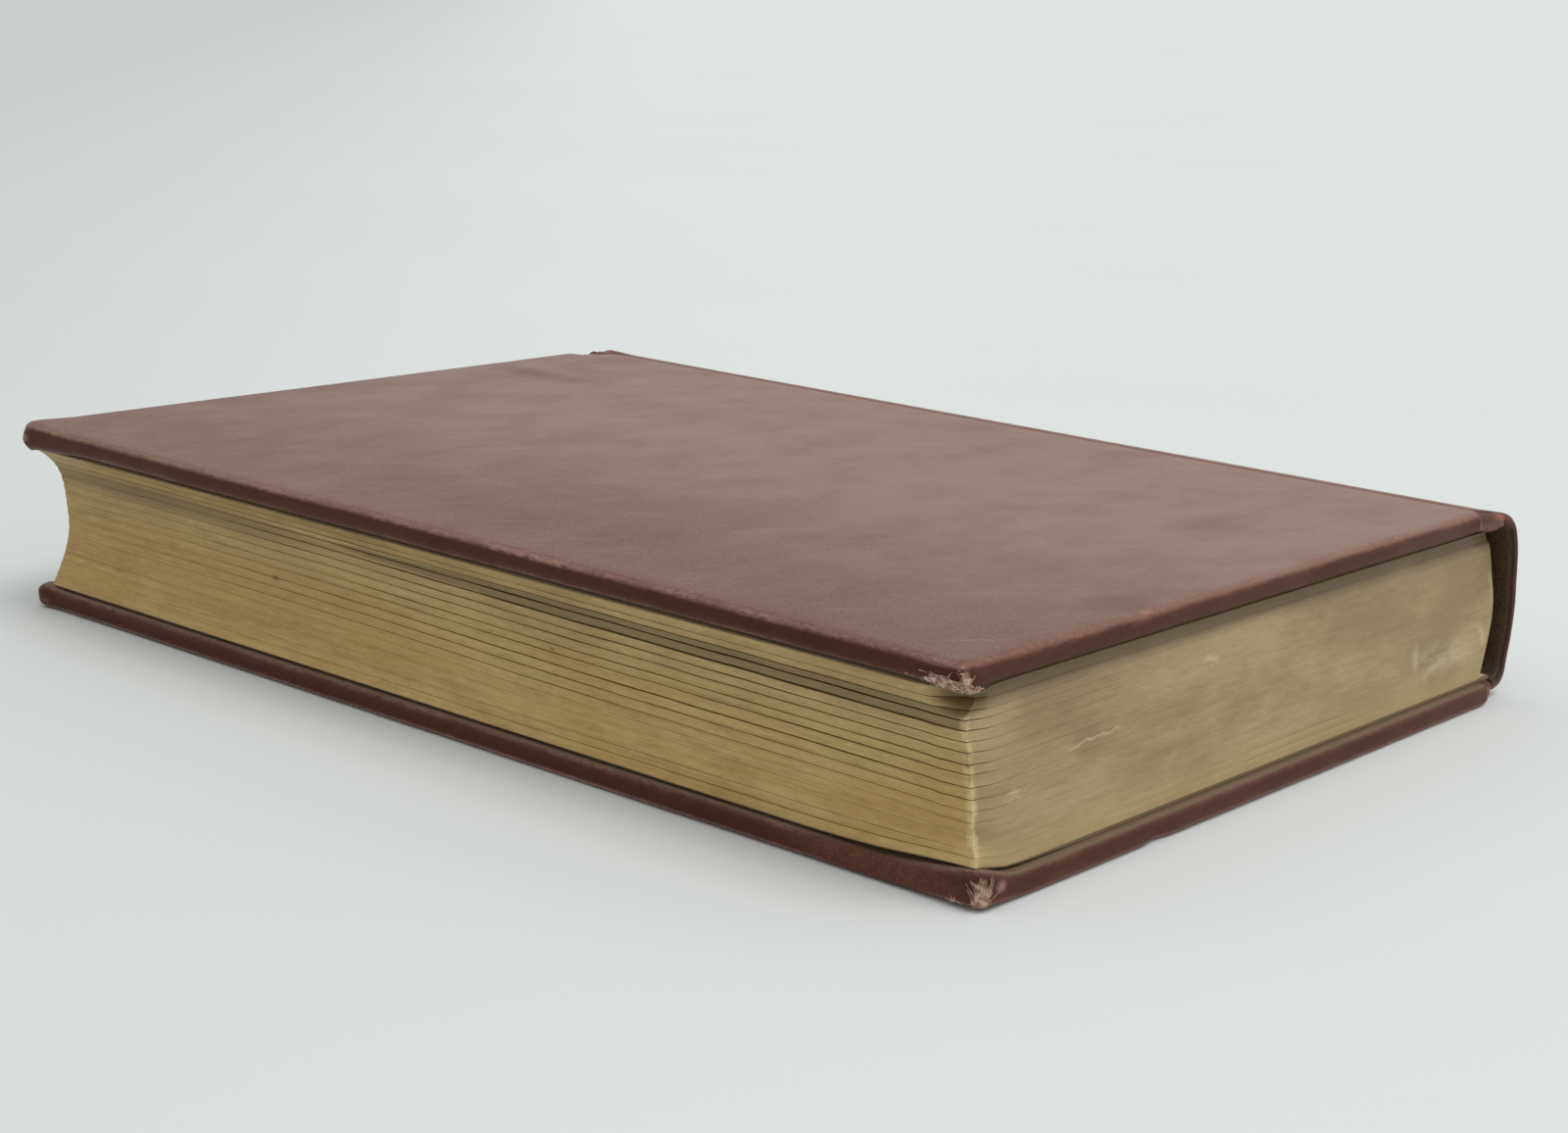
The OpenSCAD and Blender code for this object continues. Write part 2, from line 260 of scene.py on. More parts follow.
def leatherOf(name):
    # Calf over boards, dyed oxblood: dark red-brown where it is handled and shaded, with dry wax
    # and dust greying the outer faces, which shine at a flat angle; a painted sheen lightens them too,
    # less towards the fore-edge. Rubbed arrises show a lighter brown, and corners worn through show
    # the pale fibres of the skin.
    m = newMaterial(name)
    place, wear = [addNode(m, "ShaderNodeAttribute", attribute_name=a).outputs["Vector"]
        for a in ("restPlace", "wear")]
    atEnd, hollow = [addNode(m, "ShaderNodeAttribute", attribute_name=a).outputs["Fac"]
        for a in ("atEnd", "hollow")]
    placeX, placeY, _ = addNode(m, "ShaderNodeSeparateXYZ", {0: place}).outputs
    rubbed, frayed, outer = addNode(m, "ShaderNodeSeparateXYZ", {0: wear}).outputs
    cloud = patternAt(m, place, 60)  # handling marks, a hand wide
    patch = patternAt(m, place, 13, (1.5, 1, 1), detail=4, rough=0.6)  # mottled dye
    fine = patternAt(m, place, 0.8, detail=4, rough=0.65)  # pores
    scuff = patternAt(m, place, 1.3, (14, 1, 1), rough=0.65, turn=142)  # short dry scuffs
    skin = layered(m, layer(m, "#472117", "#4e241a", atEnd), (
        (patch, 0.4, 0.75, 0.5, "#371810"),
        (fine, 0.35, 0.7, 0.25, "#5e3327")))
    stain = largest(m, [maskOf(m, spotAt(m, place, centre, radii, edge), strength)
        for centre, radii, edge, strength in leatherMarks["stains"]])
    # dust and wax bloom on the outer faces, with painted sheen
    bloomAndSheen = layered(m, "#8b6b5f", (
        (placeX, -0.02, 0.09, 1, "#6f4a3e"),  # painted sheen, weaker and so darker and redder towards the fore-edge
        (placeY, -0.065, -0.125, 0.3, "#6a5e52"),  # greyer at the tail
        (cloud, 0.35, 0.65, 0.28, "#8d7063"),
        (patch, 0.45, 0.8, 0.2, "#6c4537"),
        (fine, 0.4, 0.7, 0.3, "#a08072"),
        (fine, 0.45, 0.2, 0.3, "#63402f"),
        (scuff, 0.58, 0.74, 0.28, "#ab9082")))
    bloomAndSheen = layer(m, bloomAndSheen, "#57302a", stain, 0.45)
    # dust on the turned-in rim, where outer is below 0
    colour = layered(m, layer(m, skin, bloomAndSheen, (outer, 0, 1)), ((outer, 0, -1, 0.7, "#80705a"),))

    across = patternAt(m, place, 0.5, (4, 1, 1), detail=5, rough=0.75)  # worn in streaks along the arris
    along = patternAt(m, place, 0.5, (1, 4, 1), detail=5, rough=0.75)
    broken = addNode(m, "ShaderNodeMix", {0: atEnd, 2: along, 3: across}).outputs[0]
    rub = maskOf(m, rubbed, (patternAt(m, place, 11, detail=2), 0.38, 0.62, 0.4, 1), (broken, 0.36, 0.56))
    colour = layer(m, colour, layer(m, "#b08a7e", "#8c6051", atEnd), rub)
    colour = layer(m, colour, "#a87a6c", spotsAt(m, place, leatherMarks["sore"], 0.2),
        (broken, 0.35, 0.6, 0.25, 0.9))
    # painted light: a lighter, redder patch on the lower cover's fore wall by the near corner
    colour = layer(m, colour, layer(m, "#552e20", "#673f31", (fine, 0.35, 0.65)),
        spotAt(m, place, *leatherMarks["paintedLight"], 0.3))
    # inside the spine: never handled, brown with glue, and darkened with painted shade in the hollow
    colour = layer(m, colour, layer(m, "#443526", "#574430", (fine, 0.4, 0.6)), hollow)
    # painted shade: near-black on the inner side of the spine's turned rim
    colour = layer(m, colour, "#20150e", (hollow, 0.1, 0.45), (hollow, 0.98, 0.6), 0.8)
    colour = layer(m, colour, "#9a6655", spotsAt(m, place, leatherMarks["caps"], 0.3),
        (broken, 0.3, 0.6, 0.35, 0.9))

    # worn through: the corner by the head and the fore-edge of each cover
    thread = patternAt(m, place, 0.4, (1, 1.6, 3), detail=4, rough=0.7)
    through = largest(m, [frayed, spotsAt(m, place, leatherMarks["through"], 0.3)])
    torn = addNode(m, "ShaderNodeMath", {0: through, 1: maskOf(m, thread, 1.1)}, operation="ADD").outputs[0]
    fray = maskOf(m, (torn, 1.1, 1.35))
    colour = layer(m, colour, layer(m, "#7e4f42", "#cdb29b", (thread, 0.42, 0.62)), fray)
    gloss = addNode(m, "ShaderNodeMath", {0: maskOf(m, (patch, 0.2, 0.8, 0.38, 0.52)),
        1: maskOf(m, largest(m, [fray, rub]), 0.35)}, operation="ADD").outputs[0]
    poreCells = addNode(m, "ShaderNodeMapping", {"Vector": place, "Scale": [0.7 * mm] * 3},
        vector_type="TEXTURE").outputs[0]
    pore = addNode(m, "ShaderNodeTexVoronoi", {"Vector": poreCells, "Scale": 1},
        feature="SMOOTH_F1").outputs["Distance"]
    return finish(m, colour, gloss, [(cloud, 0.6), (patch, 0.2), (fine, 0.04), (pore, 0.02),
        (maskOf(m, fray, thread), 0.5)], specular=0.17)


# marks on the gilding: centre and radii in mm, then turn about Y in degrees
giltMarks = {
    "corner": ((93, 126, 33.4), (9, 9, 3.6)),  # shaded under the front cover's near corner
    "specks": (((90, -52, 19.2), (4, 2, 0.8), 0.4), ((92, 30, 22), (4, 1, 0.4), 0.2)),  # then edge
    "scratches": (((58.5, 125, 20.6), (14, 6, 0.5), -2.2), ((82, 125, 15.6), (4.5, 6, 1), 4),
        ((22, 125, 27), (3, 6, 0.8), 3)),
    "halo": ((-64, 125, 13), (20, 5, 5)),  # swirl of scuffed leaf by the spine
    "strands": (((-51, 125, 14.2), (3, 7, 4.2), 12), ((-58, 125, 10.8), (9, 7, 2), 6),
        ((-70, 125, 12), (10, 7, 1.9), -10), ((-80, 125, 15), (6, 7, 1.7), -28),
        ((-84, 125, 24), (2.2, 7, 5), -10)),
    "wander": 5,  # how far noise bends scratches and strands, in mm
}


def gildedOf(name):
    # Trimmed paper with gold leaf burnished on three sides, worn dull: a khaki old gold with the
    # lines of the leaves in it, greyer at head and tail. At the back the folds are bare paper.
    m = newMaterial(name)
    place, face = [addNode(m, "ShaderNodeAttribute", attribute_name=a).outputs["Vector"]
        for a in ("leafPlace", "face")]
    worn = addNode(m, "ShaderNodeAttribute", attribute_name="worn").outputs["Fac"]
    gilt, deep, atEnd = addNode(m, "ShaderNodeSeparateXYZ", {0: face}).outputs
    height = addNode(m, "ShaderNodeSeparateXYZ", {0: place}).outputs[2]
    leaves = patternAt(m, place, 0.3, (200, 200, 1), rough=0.65)  # edges of single leaves
    bands = patternAt(m, place, 1.3, (40, 40, 1), rough=0.6)  # groups of leaves
    patches = patternAt(m, place, 17, (1.6, 1.6, 0.8))  # dulled places
    grime = patternAt(m, place, 3.5, (4, 4, 0.8), detail=5, rough=0.65)
    grain = patternAt(m, place, 0.5, (7, 7, 1), detail=5, rough=0.75)  # leaf rubbed off in specks
    foreTone = layered(m, "#ba965b", (
        # darker and more olive upwards: painted shade under the front cover, with an olive tone
        (height, 0.017, 0.029, 1, "#ab9160"),
        (patches, 0.4, 0.7, 0.5, "#cab078"),
        (bands, 0.45, 0.75, 0.25, "#d3ba86"),
        (grime, 0.48, 0.75, 0.45, "#98794a"),
        (leaves, 0.5, 0.34, 0.3, "#80693f"),
        (grain, 0.52, 0.35, 0.25, "#866b3d"),
        (grain, 0.56, 0.72, 0.35, "#e0cd9c")))
    endTone = layered(m, "#95815b", (
        (patches, 0.35, 0.65, 1, "#ae9a72"),
        (bands, 0.45, 0.8, 0.12, "#b7a57e"),
        (grime, 0.45, 0.75, 0.4, "#836f4b"),
        (leaves, 0.5, 0.34, 0.1, "#77643c"),
        (grain, 0.52, 0.35, 0.2, "#77643f"),
        (grain, 0.56, 0.72, 0.28, "#c9b894"),
        (height, 0.012, 0.0055, 0.55, "#b69b6a"),  # painted light: lighter and warmer at the foot, where the lower cover shades it
        (height, 0.0304, 0.0336, 0.72, "#544432")))  # painted shadow under the front cover's overhang
    colour = layer(m, foreTone, endTone, atEnd)
    colour = layer(m, colour, "#77653f", spotAt(m, place, *giltMarks["corner"], 0.4))
    # darker sections under the second to fourth folds, and lower down towards the tail: dulled leaf with
    # painted shade from the front cover above
    dullAndShade = largest(m, [spotAt(m, place, (92, 70, 29.9), (8, 110, 1.75), 0.85),
        spotAt(m, place, (90, -90, 29), (12, 95, 3.6), 0.2, (-0.6, 0, 0))])
    onFore = addNode(m, "ShaderNodeMath", {0: 1.0, 1: atEnd}, operation="SUBTRACT").outputs[0]
    colour = layer(m, colour, "#675838", dullAndShade, onFore, 0.6)
    specks = largest(m, [spotAt(m, place, *speck) for speck in giltMarks["specks"]])
    colour = layer(m, colour, "#6b4a22", specks, 0.8)
    # scratches and a swirl of scuffed leaf on the head, none of them straight
    wander = addNode(m, "ShaderNodeVectorMath", {0: patternAt(m, place, 4, detail=4, output="Color"),
        1: (0.5, 0.5, 0.5)}, operation="SUBTRACT").outputs[0]
    curled = addNode(m, "ShaderNodeVectorMath", {0: wander, 1: [giltMarks["wander"] * mm] * 3, 2: place},
        operation="MULTIPLY_ADD").outputs[0]
    scratches, strands = [largest(m, [spotAt(m, curled, centre, radii, edge, (0, turn, 0))
        for centre, radii, turn in giltMarks[key]]) for key, edge in (("scratches", 0.1), ("strands", 0))]
    colour = layer(m, colour, "#d3c5a1", scratches, (grain, 0.35, 0.6, 0.1, 0.6))
    swirl = largest(m, [maskOf(m, spotAt(m, place, *giltMarks["halo"], 0.1), (grime, 0.4, 0.6, 0, 0.6)),
        maskOf(m, strands, (grime, 0.3, 0.6, 0.25, 0.62))])
    colour = layer(m, colour, "#c8b996", swirl)
    colour = layer(m, colour, "#d6c592", worn,
        (patternAt(m, place, 2.4, detail=4, rough=0.7), 0.42, 0.62, 0, 0.8))
    colour = layer(m, colour, "#241a10", deep)  # painted shade inside a parted fold
    colour = layer(m, "#5f4e38", colour, gilt)  # bare back, brown with glue
    return finish(m, colour, maskOf(m, (patches, 0.2, 0.8, 0.5, 0.62)),
        [(bands, 0.02), (leaves, 0.02), (grain, 0.02)], metallic=0.2, specular=0.4)


def endpaperOf(name):
    # Heavy laid paper, cream and browned with age
    m = newMaterial(name)
    place = addNode(m, "ShaderNodeAttribute", attribute_name="restPlace").outputs["Vector"]
    trimmed = addNode(m, "ShaderNodeAttribute", attribute_name="trimmed").outputs["Fac"]
    fibre = patternAt(m, place, 0.6, (1, 4, 1))
    colour = layered(m, "#cdbb95", (
        (patternAt(m, place, 30), 0.3, 0.7, 1, "#d8c9a8"),
        (patternAt(m, place, 2.5, detail=4, rough=0.7), 0.66, 0.76, 0.5, "#a07a4a"),
        (fibre, 0.3, 0.7, 0.2, "#bda67c")))
    colour = layer(m, colour, "#77674a", trimmed)  # dull gilt, darkened with painted shade from the covers beside it
    return finish(m, colour, 0.82, [(fibre, 0.04)], specular=0.3)


def pulpOf(name, light, dark, size, depth):
    # Boards, card and linings: pulp with short fibres pressed into it
    m = newMaterial(name)
    place = addNode(m, "ShaderNodeTexCoord").outputs["Object"]
    fibre = patternAt(m, place, size, (1, 2.5, 1), detail=4, rough=0.6)
    return finish(m, layer(m, light, dark, (fibre, 0.3, 0.7)), 0.88, [(fibre, depth)], specular=0.3)


def wovenOf(name, light, dark, pitch):
    # Linen tape and open gauze: plain weave of undyed thread
    m = newMaterial(name)
    place = addNode(m, "ShaderNodeTexCoord").outputs["Object"]
    cells = addNode(m, "ShaderNodeMapping", {"Vector": place, "Scale": [pitch * mm] * 3},
        vector_type="TEXTURE").outputs[0]
    perCell = 0.318  # a wave of this scale repeats once in a cell
    thread = largest(m, [addNode(m, "ShaderNodeTexWave", {"Vector": cells, "Scale": perCell,
        "Distortion": 0.6, "Detail": 1.0}, bands_direction=way).outputs["Fac"] for way in "YZ"])
    return finish(m, layer(m, dark, light, thread), 0.9, [(thread, 0.1)], specular=0.3)


def fibreOf(name):
    # Loose fibres of worn calf: pale tan, brown where dye still holds
    m = newMaterial(name)
    place = addNode(m, "ShaderNodeAttribute", attribute_name="restPlace").outputs["Vector"]
    colour = layer(m, "#d8bdab", "#a67d6e", (patternAt(m, place, 0.9), 0.4, 0.6))
    return finish(m, colour, 0.9, specular=0.2)


calf = leatherOf("waxedOxbloodCalf")
gilded = gildedOf("gildedPageEdge")
endpaper = endpaperOf("agedLaidPaper")
looseFibre = fibreOf("wornCalfFibre")
millboard = pulpOf("greyMillboard", "#9a938a", "#837b70", 0.9, 0.1)
infillCard = pulpOf("buffCard", "#bdb197", "#a89a7e", 0.7, 0.05)
spineCard = pulpOf("brownSpineCard", "#5c4c3a", "#43362a", 0.8, 0.08)
brownPaper = pulpOf("brownLiningPaper", "#5a4a38", "#453728", 0.6, 0.05)
linen = wovenOf("linenTape", "#ddd3bb", "#a99c80", 0.5)
gauze = wovenOf("stiffenedGauze", "#cfc8b4", "#8f866f", 0.9)

for node, material in {"sewing_tapes": linen, "mull": gauze, "back_lining": brownPaper,
        "hollow_tube": brownPaper, "spine_card": spineCard, "front_board": millboard,
        "front_infill": infillCard, "back_infill": infillCard}.items():
    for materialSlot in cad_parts[node].material_slots:
        materialSlot.material = material
print("materials made")

book = {
    "thick": 40.0, "middle": 20.0,  # over both covers, and the height of its middle
    "blockHalf": 14.7,  # half the thickness of the block
    "cover": (173.0, 254.5, 4.5),
    "coverX": -79.725,  # spine edge of a cover before its slip
    "slipX": 0.7, "slipY": 2.3,  # half the slip of one cover over the other
    "tip": (92.6, 129.5),  # near corner of the lower cover
    "curl": 0.5, "curlOver": (14, 24),  # how far it has curled up, and over what length
    "puff": 1.7, "puffOver": (11, 22),  # how far its inner face has puffed up
}
blockLow, blockHigh = book["middle"] - book["blockHalf"], book["middle"] + book["blockHalf"]
apart = book["thick"] - book["cover"][2]  # between the middles of the covers


def leanX(z):
    return 2 * book["slipX"] * (z - book["middle"]) / apart


def leanY(z):
    return -2 * book["slipY"] * (z - book["middle"]) / apart


def curlAt(x, y):
    (tipX, tipY), (overX, overY) = book["tip"], book["curlOver"]
    return book["curl"] * fade(0, overY, tipY - y) * fade(0, overX, tipX - x)


def cornerRise(x, y):
    # rise of the inner face there, which the last leaves lie on
    (tipX, tipY), (overX, overY) = book["tip"], book["puffOver"]
    return curlAt(x, y) + book["puff"] * fade(0, overY, tipY - y) * fade(0, overX, tipX - x)


def coverEdge(side):
    # spine edge of a cover and the middle of its height: side is 1 for the front, -1 for the back
    return book["coverX"] + side * book["slipX"], -side * book["slipY"]


def makePiece(name, mesh, material, sharp=50):
    # from a bmesh in mm to an object in metres at the origin, its faces outwards
    bmesh.ops.recalc_face_normals(mesh, faces=mesh.faces)
    middle = sum((v.co for v in mesh.verts), Vector()) / len(mesh.verts)
    if sum(f.calc_area() * f.normal.dot(f.calc_center_median() - middle) for f in mesh.faces) < 0:
        bmesh.ops.reverse_faces(mesh, faces=mesh.faces)
    bmesh.ops.scale(mesh, vec=(mm, mm, mm), verts=mesh.verts)
    data = bpy.data.meshes.new(name)
    mesh.to_mesh(data)
    mesh.free()
    data.shade_smooth()
    data.set_sharp_from_angle(angle=math.radians(sharp))
    data.materials.append(material)
    piece = bpy.data.objects.new(name, data)
    bpy.context.scene.collection.objects.link(piece)
    rest = data.attributes.new("restPlace", "FLOAT_VECTOR", "POINT")
    for i, vertex in enumerate(data.vertices):
        rest.data[i].vector = vertex.co
    return piece


def cutAt(mesh, axis, places):
    for place in places:
        point, normal = [0, 0, 0], [0, 0, 0]
        point[axis], normal[axis] = place, 1
        bmesh.ops.bisect_plane(mesh, geom=mesh.verts[:] + mesh.edges[:] + mesh.faces[:],
            dist=1e-5, plane_co=point, plane_no=normal)


def evenly(start, end, step):
    count = max(1, round((end - start) / step))
    return [start + (end - start) * i / count for i in range(1, count)]


def boxMesh(corner, opposite):
    mesh = bmesh.new()
    bmesh.ops.create_cube(mesh, size=1)
    bmesh.ops.scale(mesh, vec=[b - a for a, b in zip(corner, opposite)], verts=mesh.verts)
    bmesh.ops.translate(mesh, vec=[(a + b) / 2 for a, b in zip(corner, opposite)], verts=mesh.verts)
    return mesh


def roundOff(mesh, edges, radius, segments):
    bmesh.ops.bevel(mesh, geom=edges, offset=radius, offset_type="OFFSET", segments=segments,
        profile=0.5, affect="EDGES", material=-1)


def extendChain(mesh, chain):
    # new vertices, and the far edges of the strip that they carry
    made = bmesh.ops.extrude_edge_only(mesh, edges=chain)["geom"]
    fresh = [g for g in made if isinstance(g, bmesh.types.BMVert)]
    return fresh, [g for g in made if isinstance(g, bmesh.types.BMEdge) and all(v in fresh for v in g.verts)]


def leatherLayers(mesh):
    layers = mesh.verts.layers
    return layers.float_vector.new("wear"), layers.float.new("atEnd"), layers.float.new("hollow")


def uprightEdges(mesh, beyond):
    return [e for e in mesh.edges if abs(e.verts[0].co.z - e.verts[1].co.z) > 1
        and e.verts[0].co.x > beyond]


pages = {
    "x": (-84.0, 92.0), "y": (-123.35, 125.45),
    "round": (-52.434, 34.391),  # centre and radius of the back
    "fore": 92.075, "hollow": (6.1, 1.3),  # fore-edge, and depth of its hollow at tail and head
    "hollowOver": (-95, 125),  # the depth changes between these places
    # depth of each fold under the front cover's side, and how far it stands open at the near corner
    "folds": (1.8, 3.3, 4.65, 6.3, 8.1, 9.85, 11.8, 13.4, 15.5, 17.4, 19.3, 21.1, 22.8, 24.4, 26.2, 27.7),
    "open": (0.3, 0.8, 1, 1, 0.75, 0.65, 0.7, 0.6, 0.75, 0.6, 0.4, 0.08, 0, 0, 0.15, 0.3),
    "opensOver": (-140, 60),  # the gaps widen between these places, from tail to head
    "gapMean": 0.8, "gapSpread": 0.55, "gapSize": 17,  # and come and go along the fold
    "pressed": (10, 0.4),  # from this fold down they lie close: share of a shut fold's depth
    "openDepth": 2.4, "openHeight": 0.36, "foldDepth": 0.12, "foldHeight": 0.05,
    "backFold": 1.2, "tailFold": 0.3, "headFold": 0.02, "headOpen": 0.2,  # depths at back, tail, head
    "swell": 0.1, "uneven": 0.22, "unevenSize": 45,  # of the sections at the fore-edge
    "waves": ((0.3, 40), (0.12, 13)),  # height and length of the waves in the leaves
    "pushed": (0.45, (28.2, 28.8), (31.2, 31.8), (-50, 20)),  # sections in at the fore-edge: how far,
    "headPushed": (0.5, (32.2, 33.0)),  # between which heights, from where; and in at the head
    "rubbed": (0.8, 1.1), "rubbedFrom": (6, 11),  # corner by the head, along X and Y, above this
    "bent": 4.5, "bentFrom": (30.2, 33.4),  # and bent round under the cover
    "slipped": (4.2, 1.3),  # last and first sections out of the round at the head
    "lift": (0.55, 113, 11), "liftFrom": (66, 90),  # gap over the lower cover: height, middle, width
    "onCover": 0.8,  # share of the cover's rise that the last leaves follow
    "rings": (0.36, 0.64), "groove": 0.12,  # levels of the mesh in each section and about each fold
    "rim": (0.6, 1.4, 2.6, 4.2, 6.5, 9), "steps": (5, 3.6),
}


def backOf(z):
    centre, radius = pages["round"]
    return centre - math.sqrt(radius ** 2 - (z - book["middle"]) ** 2) + 0.5 * leanX(z)


def foreOf(y, z):
    t = (z - book["middle"]) / book["blockHalf"]
    tail, head = pages["hollow"]
    atTail = tail * (1 - t ** 4 if t > 0 else max(0, 1 - t * t) ** 1.25)  # fuller in the lower half
    return pages["fore"] + leanX(z) - atTail - (head * (1 - t * t) - atTail) * smooth(*pages["hollowOver"], y)


def lastLeavesLift(x, y, z):
    # the last leaves stand off the lower cover, close to the near corner
    rise, middle, width = pages["lift"]
    return rise * bump(y, middle, width) * smooth(*pages["liftFrom"], x) * fade(blockLow, blockLow + 5, z)


def openAt(fold, x, y, z):
    uneven = pages["gapMean"] + pages["gapSpread"] * ripple(x, y, z, pages["gapSize"], fold)
    return pages["open"][fold] * smooth(*pages["opensOver"], y) * uneven


def shutShare(fold):
    start, share = pages["pressed"]
    return share if fold >= start else 1


def pageShape(x, y, z, kind, fold, part):
    # where a point of the trimmed box ends up on the used book
    (startX, endX), (startY, endY), rim = pages["x"], pages["y"], pages["rim"][-1]
    toFore, toBack = smooth(endX - rim, endX, x), fade(startX, startX + rim, x)
    toHead, toTail = smooth(endY - rim, endY, y), fade(startY, startY + rim, y)
    inward = smooth(0, 4, min(z - blockLow, blockHigh - z))
    onFore = x > endX - 1e-3
    byCorner = smooth(endX - 50, endX - 6, x)
    flatX, flatY = x, y
    if kind == "fold":
        shut, opened = pages["foldDepth"] * shutShare(fold), openAt(fold, x, y, z)
        low, high = pages["foldHeight"], pages["openHeight"]
        gap = low + (high - low) * opened * (1 - 0.3 * toHead)
        z = blockHigh - pages["folds"][fold] + part * (gap * toFore + low * (1 - toFore)) / 2
        if part == 0:
            depth = shut + (pages["openDepth"] - shut) * opened
            x += toBack * pages["backFold"] - toFore * depth * (1 - 0.5 * toHead)
            y += toTail * pages["tailFold"]
            y -= toHead * (pages["headFold"] + pages["headOpen"] * byCorner * opened)
    zRest = z
    # sections swell a little between their folds and stand unevenly
    if onFore and part == 0 and kind == "leaf":
        x += pages["swell"] * inward
    if onFore:
        x += pages["uneven"] * ripple(fold * 9, y, 0, pages["unevenSize"], 3) * inward
    # some of them are pushed in, at the fore-edge and at the head
    push, lower, upper, along = pages["pushed"]
    x -= toFore * push * smooth(*lower, z) * fade(*upper, z) * smooth(*along, flatY)
    push, lower = pages["headPushed"]
    y -= toHead * push * smooth(*lower, z)
    # the corner by the head: rubbed in the middle, and bent round under the cover
    (rubX, rubY), rubFrom = pages["rubbed"], pages["rubbedFrom"]
    y -= toHead * rubY * smooth(endX - 6, endX + 0.5, flatX) * smooth(*rubFrom, z)
    x -= toFore * rubX * smooth(endY - 5, endY + 0.5, flatY) * smooth(*rubFrom, z)
    x -= toFore * pages["bent"] * smooth(endY - 8, endY, flatY) * smooth(*pages["bentFrom"], z)
    (tall, size), (fine, fineSize) = pages["waves"]
    wave = tall * ripple(flatX * toHead, flatY, fold * 1.3, size, 5)
    wave += fine * ripple(flatX, flatY, fold * 3.1, fineSize, 6)
    z += wave * inward * max(toFore, toHead, toTail)
    # bend of the box to the rounded form
    level = min(max(z, blockLow), blockHigh)
    xBack, xFore = backOf(level), foreOf(flatY, level)
    x = xBack + (x - startX) / (endX - startX) * (xFore - xBack)
    # the last sections have slipped forward out of the round at the head, the first ones back
    forward, backward = pages["slipped"]
    atBack = fade(startX, startX + 16, flatX) * smooth(endY - 22, endY, flatY)
    x += (forward * smooth(22, 4, z) - backward * smooth(24, 34, z)) * atBack
    y += leanY(z)
    z += cornerRise(x, y) * pages["onCover"] * fade(blockLow, blockLow + 7, z) + lastLeavesLift(x, y, z)
    return Vector((x, y, z)), zRest


def makeTextBlock():
    (startX, endX), (startY, endY), rim = pages["x"], pages["y"], pages["rim"]
    mesh = boxMesh((startX, startY, blockLow), (endX, endY, blockHigh))
    depths = (0,) + pages["folds"] + (2 * book["blockHalf"],)
    # kind of each level, its fold or section, and which side of the fold it is
    levels = {round(blockHigh, 3): ("leaf", 0, 0), round(blockLow, 3): ("leaf", len(pages["folds"]), 0)}
    for i, (above, below) in enumerate(zip(depths, depths[1:])):
        if i:
            for side in (-1, 0, 1):
                levels[round(blockHigh - above + side * pages["groove"], 3)] = ("fold", i - 1, side)
        for share in pages["rings"]:
            levels[round(blockHigh - above - share * (below - above), 3)] = ("leaf", i, 0)
    heights = sorted(levels)
    cutAt(mesh, 2, [z for z in heights if blockLow < z < blockHigh])
    for axis, (start, end), step in ((0, pages["x"], pages["steps"][0]), (1, pages["y"], pages["steps"][1])):
        cutAt(mesh, axis, [start + s for s in rim] + [end - s for s in rim]
            + evenly(start + rim[-1], end - rim[-1], step))
    leaf = mesh.verts.layers.float_vector.new("leafPlace")
    face = mesh.verts.layers.float_vector.new("face")
    worn = mesh.verts.layers.float.new("worn")
    for v in mesh.verts:
        flat = v.co.copy()
        nearest = min(heights, key=lambda h: abs(h - flat.z))
        kind, fold, part = levels[nearest]
        toEdgeX, toEdgeY = endX - flat.x, min(flat.y - startY, endY - flat.y)
        onFore, onEnd = toEdgeX < 1e-3, toEdgeY < 1e-3
        v.co, zRest = pageShape(flat.x, flat.y, nearest, kind, fold, part)
        v[leaf] = (flat.x * mm, flat.y * mm, zRest * mm)
        deep = 0  # painted shade in a fold: by its depth on the fore-edge, and only by the near corner at the ends
        if kind == "fold" and part == 0:
            opened = openAt(fold, *flat)
            deep = (min(1, 0.25 * shutShare(fold) + 1.1 * opened) if onFore
                else 0.4 * opened * bump(toEdgeX, 0, 20) if onEnd else 0)
        v[face] = (1 if onFore or onEnd else 0, deep, smooth(0, 0.8, toEdgeX) if onEnd else 0)
        v[worn] = fade(0.3, 1.4, max(toEdgeX, endY - flat.y)) * smooth(31.2, 30, flat.z)
    return makePiece("textBlock", mesh, gilded, 38)


textBlock = makeTextBlock()
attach(textBlock, "book_block")
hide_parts("text_block")
print("text block:", len(textBlock.data.polygons), "faces")

sheets = {
    "thick": 0.25, "margin": 4.0, "pasteX": -84.3,  # margin of a pastedown, and its edge past the joint
    "front": 34.7, "back": 5.05, "frontPaste": 35.25, "backPaste": 4.5,  # height of each sheet
    "joint": 1.5, "jointStep": 0.5, "step": 8, "rim": (1, 2.5, 5, 8, 12),
    "trim": 0.1, "wavy": 0.15, "waveSize": 22,  # how far the fore-edge of a flyleaf stands back
    "droop": 0.4, "slide": 0.5, "headSlide": 0.15,  # of the first leaf at the near corner
    "bentHead": 4.0, "bentTail": 2.0,  # its corners, folded back
    "hang": 0.42, "hangOver": (60, 84),  # of the last leaf over the cover's rim at the head
}


